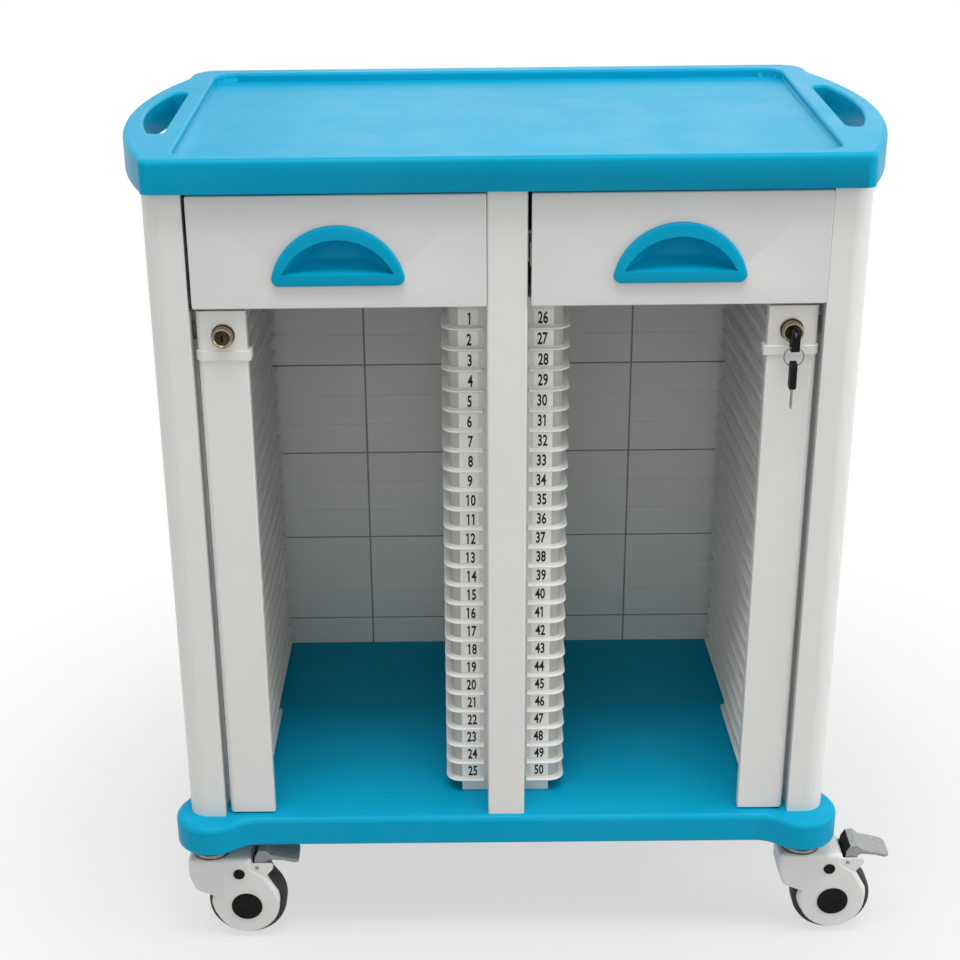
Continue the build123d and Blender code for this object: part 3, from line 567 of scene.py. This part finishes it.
for sideName in sides:
    node = f"drawer_handle_{sideName}"
    cupLow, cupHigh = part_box(node)
    cupX = (cupLow.x + cupHigh.x) / 2 - middle
    bm = bmesh.new()
    radius = halfMoon(bm, cupX, cup["outline"])
    cornerZ = cup["outline"]["low"] + cup["corner"]
    cornerX = math.sqrt((radius - cup["corner"]) ** 2 - (cornerZ - cup["outline"]["high"] + radius) ** 2)
    for side in sides.values():
        for turn in cup["cornerTurns"]:
            outward = Vector((side * math.cos(math.radians(turn)), 0, math.sin(math.radians(turn))))
            bm.faces.ensure_lookup_table()
            spot = Vector((cupX + side * cornerX, 0, cornerZ)) + outward * cup["corner"]
            trimFace(bm, bm.faces[0], spot, outward)
    bmesh.ops.remove_doubles(bm, verts=bm.verts, dist=cup["weld"])
    grown = bmesh.ops.extrude_edge_only(bm, edges=bm.edges[:])["geom"]
    moved = [item for item in grown if isinstance(item, bmesh.types.BMVert)]
    bmesh.ops.translate(bm, verts=moved, vec=(0, cup["face"] - cup["front"], 0))
    plate = max(bm.faces, key=lambda face: face.calc_area())
    bmesh.ops.bevel(
        bm, geom=plate.edges[:], offset=cup["edge"], affect="EDGES", segments=3, profile=0.5, material=-1,
        clamp_overlap=False,
    )
    plate = max(bm.faces, key=lambda face: face.calc_area())
    rim = plate.edges[:]
    bmesh.ops.delete(bm, geom=[plate], context="FACES_ONLY")
    before = set(bm.faces)
    halfMoon(bm, cupX, cup["opening"])
    bottom = next(face for face in bm.faces if face not in before)
    bmesh.ops.triangle_fill(bm, use_beauty=True, edges=rim + bottom.edges[:])
    heart = Vector((cupX, 0, cup["heart"]))
    depthBefore, sizeBefore = 0, 1
    for depth, size in cup["bowl"]:
        grown = bmesh.ops.extrude_face_region(bm, geom=[bottom])["geom"]
        bmesh.ops.delete(bm, geom=[bottom], context="FACES_ONLY")
        bottom = next(item for item in grown if isinstance(item, bmesh.types.BMFace))
        bmesh.ops.translate(bm, verts=bottom.verts[:], vec=(0, depth - depthBefore, 0))
        shrink = size / sizeBefore
        bmesh.ops.scale(
            bm, vec=(shrink, 1, shrink), space=Matrix.Translation(-heart), verts=bottom.verts[:]
        )
        depthBefore, sizeBefore = depth, size
    bmesh.ops.recalc_face_normals(bm, faces=bm.faces)
    piece = addPiece(f"drawerCup{sideName.title()}", bm, "bluePlastic", f"drawer_{sideName}", [node])
    wall = piece.modifiers.new("wall", "SOLIDIFY")
    wall.thickness = cup["wall"]
    wall.offset = -1
print("drawer cups scooped")


# Locks: a turned barrel behind a nickel flange, painted shade in the groove ring between them, and the plug's face
# sunk inside its rim
lock = {
    "x": 0.318, "z": 0.826, "flange": 0.0129, "groove": 0.01185, "steps": 56,
    "plugEdge": 0.0003, "plugFace": -0.2344, "sunk": 0.0011,
    "profile": (
        (0.0095, -0.2021), (0.0095, -0.2211), (0.0140, -0.2211), (0.0140, -0.2224), (0.0136, -0.2230),
        (0.0131, -0.2230), (0.0128, -0.2216), (0.0119, -0.2216), (0.0118, -0.2224), (0.0118, -0.2338),
        (0.0115, -0.2346), (0.0109, -0.2350), (0.0098, -0.2350), (0.0091, -0.2344), (0.00825, -0.2336),
        (0.00825, -0.2021),
    ),
}
for sideName, side in sides.items():
    bm = bmesh.new()
    drawn = [bm.verts.new((side * lock["x"] + out, y, lock["z"])) for out, y in lock["profile"]]
    rim = [bm.edges.new(pair) for pair in zip(drawn, drawn[1:] + drawn[:1])]
    axle = Vector((side * lock["x"], 0, lock["z"]))
    bmesh.ops.spin(
        bm, geom=drawn + rim, cent=axle, axis=(0, 1, 0), angle=math.radians(360), steps=lock["steps"], use_merge=True
    )
    bmesh.ops.recalc_face_normals(bm, faces=bm.faces)
    # Faces in the ring between flange and barrel wear dark bronze as painted shade
    for face in bm.faces:
        spot = face.calc_center_median() - axle
        out = math.hypot(spot.x, spot.z)
        face.material_index = 0 if out > lock["flange"] else 2 if out > lock["groove"] else 1
    piece = addPiece(
        f"lockBarrel{sideName.title()}", bm, "lockNickel", f"bar_{sideName}",
        [f"lock_cylinder_{sideName}"],
    )
    piece.data.materials.append(finish["lockBrass"])
    piece.data.materials.append(finish["plugBronze"])
    plug = dressNode(f"lock_plug_{sideName}", lock["plugEdge"])
    for vert in plug.data.vertices:
        if vert.co.y < lock["plugFace"]:
            vert.co.y += lock["sunk"]
print("locks turned")


# Ledges: one rounded lip, swept along the rail's front, round its corner and back, then tilted
ledge = {
    "first": 0.8152, "pitch": 0.02545, "count": 25, "tilt": 5.1,
    "front": -0.172, "back": 0.201, "tip": 0.008, "corner": 0.012, "cornerSteps": 7, "floor": 0.187,
    "innerWall": 0.067, "innerStart": 0.027, "outerWall": 0.312, "outerStart": 0.346,
    "section": (
        (-0.0006, 0.0029), (0.0003, 0.0026), (0.0011, 0.0018), (0.0026, 0.0013), (0.0068, 0.0013),
        (0.0077, 0.0008), (0.008, 0.0), (0.0077, -0.0008), (0.0068, -0.0013),
        (0.0026, -0.0013), (0.0011, -0.0018), (0.0003, -0.0026), (-0.0006, -0.0029),
    ),
}


def sweepLedge(wall, start, side, toward):
    bm = bmesh.new()
    drawn = [bm.verts.new((start, ledge["front"] - out, up)) for out, up in ledge["section"]]
    section = [bm.edges.new(pair) for pair in zip(drawn, drawn[1:] + drawn[:1])]
    turnX = wall - toward * ledge["corner"]
    turn = (side * turnX, ledge["front"] + ledge["corner"], 0)
    for vert in drawn:
        vert.co.x *= side
    grown = bmesh.ops.extrude_edge_only(bm, edges=section)["geom"]
    moved = [item for item in grown if isinstance(item, bmesh.types.BMVert)]
    bmesh.ops.translate(bm, verts=moved, vec=(side * (turnX - start), 0, 0))
    ring = [item for item in grown if isinstance(item, bmesh.types.BMEdge) and all(v in moved for v in item.verts)]
    spun = bmesh.ops.spin(
        bm, geom=moved + ring, cent=turn, axis=(0, 0, 1),
        angle=math.radians(90 * side * toward), steps=ledge["cornerSteps"], use_merge=False,
    )["geom_last"]
    ring = [item for item in spun if isinstance(item, bmesh.types.BMEdge)]
    grown = bmesh.ops.extrude_edge_only(bm, edges=ring)["geom"]
    moved = [item for item in grown if isinstance(item, bmesh.types.BMVert)]
    bmesh.ops.translate(bm, verts=moved, vec=(0, ledge["back"] - ledge["front"] - ledge["corner"], 0))
    bmesh.ops.holes_fill(bm, edges=[edge for edge in bm.edges if edge.is_boundary], sides=0)
    fall = math.tan(math.radians(ledge["tilt"]))
    tilt = Matrix.Identity(4)
    tilt[2][1] = -fall
    tilt[2][3] = fall * (ledge["front"] - ledge["tip"])
    bmesh.ops.transform(bm, matrix=tilt, verts=bm.verts)
    bmesh.ops.recalc_face_normals(bm, faces=bm.faces)
    mesh = bpy.data.meshes.new("oneLedge")
    bm.to_mesh(mesh)
    bm.free()
    return mesh


for sideName, side in sides.items():
    pattern = [
        sweepLedge(ledge["innerWall"], ledge["innerStart"], side, 1),
        sweepLedge(ledge["outerWall"], ledge["outerStart"], side, -1),
    ]
    bm = bmesh.new()
    for slotNumber in range(ledge["count"]):
        for mesh in pattern:
            before = len(bm.verts)
            bm.from_mesh(mesh)
            bm.verts.ensure_lookup_table()
            rise = ledge["first"] - slotNumber * ledge["pitch"]
            bmesh.ops.translate(bm, verts=bm.verts[before:], vec=(0, 0, rise))
    cut = bmesh.ops.bisect_plane(
        bm, geom=bm.verts[:] + bm.edges[:] + bm.faces[:], plane_co=(0, 0, ledge["floor"]),
        plane_no=(0, 0, -1), clear_outer=True,
    )["geom_cut"]
    bmesh.ops.holes_fill(bm, edges=[item for item in cut if isinstance(item, bmesh.types.BMEdge)], sides=0)
    node = f"slot_ledges_{sideName}"
    addPiece(f"slotLedges{sideName.title()}", bm, "whitePlastic", "cabinet", [node])
    for mesh in pattern:
        bpy.data.meshes.remove(mesh)
print("slot ledges swept")


# Slot numbers: ten digits are cut once and printed on the stickers, a little unevenly
numbers = {
    "size": 0.0197, "narrow": 0.6, "bold": 0.026, "spread": 0.0061, "face": -0.17245, "ink": 0.00006,
    "left": {"x": -0.042, "rise": 0.0105}, "right": {"x": 0.0427, "rise": 0.0113},
    "shift": (0.0004, -0.0005, 0.0002, 0.0006, -0.0003, -0.0006, 0.0005),
    "flag": {"long": 0.2, "thick": 0.1, "lean": 40, "out": 0.045, "under": 0.1},
}
glyphs = {}
for digit in "0123456789":
    textCurve = bpy.data.curves.new("digit", "FONT")
    textCurve.body = digit
    textCurve.size = numbers["size"]
    textCurve.offset = numbers["bold"] * numbers["size"]
    textCurve.extrude = numbers["ink"]
    textCurve.resolution_u = 3
    textObject = bpy.data.objects.new("digit", textCurve)
    scene.collection.objects.link(textObject)
    bpy.context.view_layer.update()
    glyph = bpy.data.meshes.new_from_object(textObject.evaluated_get(bpy.context.evaluated_depsgraph_get()))
    bpy.data.objects.remove(textObject)
    bpy.data.curves.remove(textCurve)
    bm = bmesh.new()
    bm.from_mesh(glyph)
    left, right = min(vert.co.x for vert in bm.verts), max(vert.co.x for vert in bm.verts)
    low, high = min(vert.co.y for vert in bm.verts), max(vert.co.y for vert in bm.verts)
    if digit == "1":
        flag = {key: value * numbers["size"] for key, value in numbers["flag"].items() if key != "lean"}
        place = Matrix.Translation((left - flag["out"], high - flag["under"], 0))
        lean = Matrix.Rotation(math.radians(numbers["flag"]["lean"]), 4, "Z")
        shape = Matrix.Diagonal((flag["long"], flag["thick"], 2 * numbers["ink"], 1))
        bmesh.ops.create_cube(bm, size=1, matrix=place @ lean @ shape)
    bmesh.ops.translate(bm, verts=bm.verts, vec=(-(left + right) / 2, -(low + high) / 2, 0))
    bmesh.ops.scale(bm, vec=(numbers["narrow"], 1, 1), verts=bm.verts)
    bmesh.ops.rotate(bm, matrix=Matrix.Rotation(math.radians(90), 3, "X"), verts=bm.verts)
    bmesh.ops.remove_doubles(bm, verts=bm.verts, dist=1e-6)
    bm.to_mesh(glyph)
    bm.free()
    glyphs[digit] = glyph
bm = bmesh.new()
for slotNumber in range(2 * ledge["count"]):
    printed = numbers["left"] if slotNumber < ledge["count"] else numbers["right"]
    row = slotNumber % ledge["count"]
    digits = str(slotNumber + 1)
    shift = numbers["shift"][slotNumber % len(numbers["shift"])]
    for index, digit in enumerate(digits):
        before = len(bm.verts)
        bm.from_mesh(glyphs[digit])
        bm.verts.ensure_lookup_table()
        across = printed["x"] + shift + (index - (len(digits) - 1) / 2) * numbers["spread"]
        up = ledge["first"] - row * ledge["pitch"] + printed["rise"]
        bmesh.ops.translate(bm, verts=bm.verts[before:], vec=(across, numbers["face"], up))
addPiece("slotNumbers", bm, "numberInk", "cabinet")
for glyph in glyphs.values():
    bpy.data.meshes.remove(glyph)
print("slot numbers printed")


# Back screws: domed heads with a round recess
screws = {"edge": 0.0004, "inset": 0.0017, "slope": 0.0002, "sunk": 0.0009, "facing": 0.99, "within": 0.0002}
screwPiece = dressNode("back_screws", screws["edge"])
bm = bmesh.new()
bm.from_mesh(screwPiece.data)
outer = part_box("back_screws")[1].y
heads = [
    face for face in bm.faces
    if face.normal.y > screws["facing"] and abs(face.calc_center_median().y - outer) < screws["within"]
]
bmesh.ops.inset_individual(bm, faces=heads, thickness=screws["inset"], depth=0)
bmesh.ops.inset_individual(bm, faces=heads, thickness=screws["slope"], depth=-screws["sunk"])
bm.to_mesh(screwPiece.data)
bm.free()
print("screws recessed")
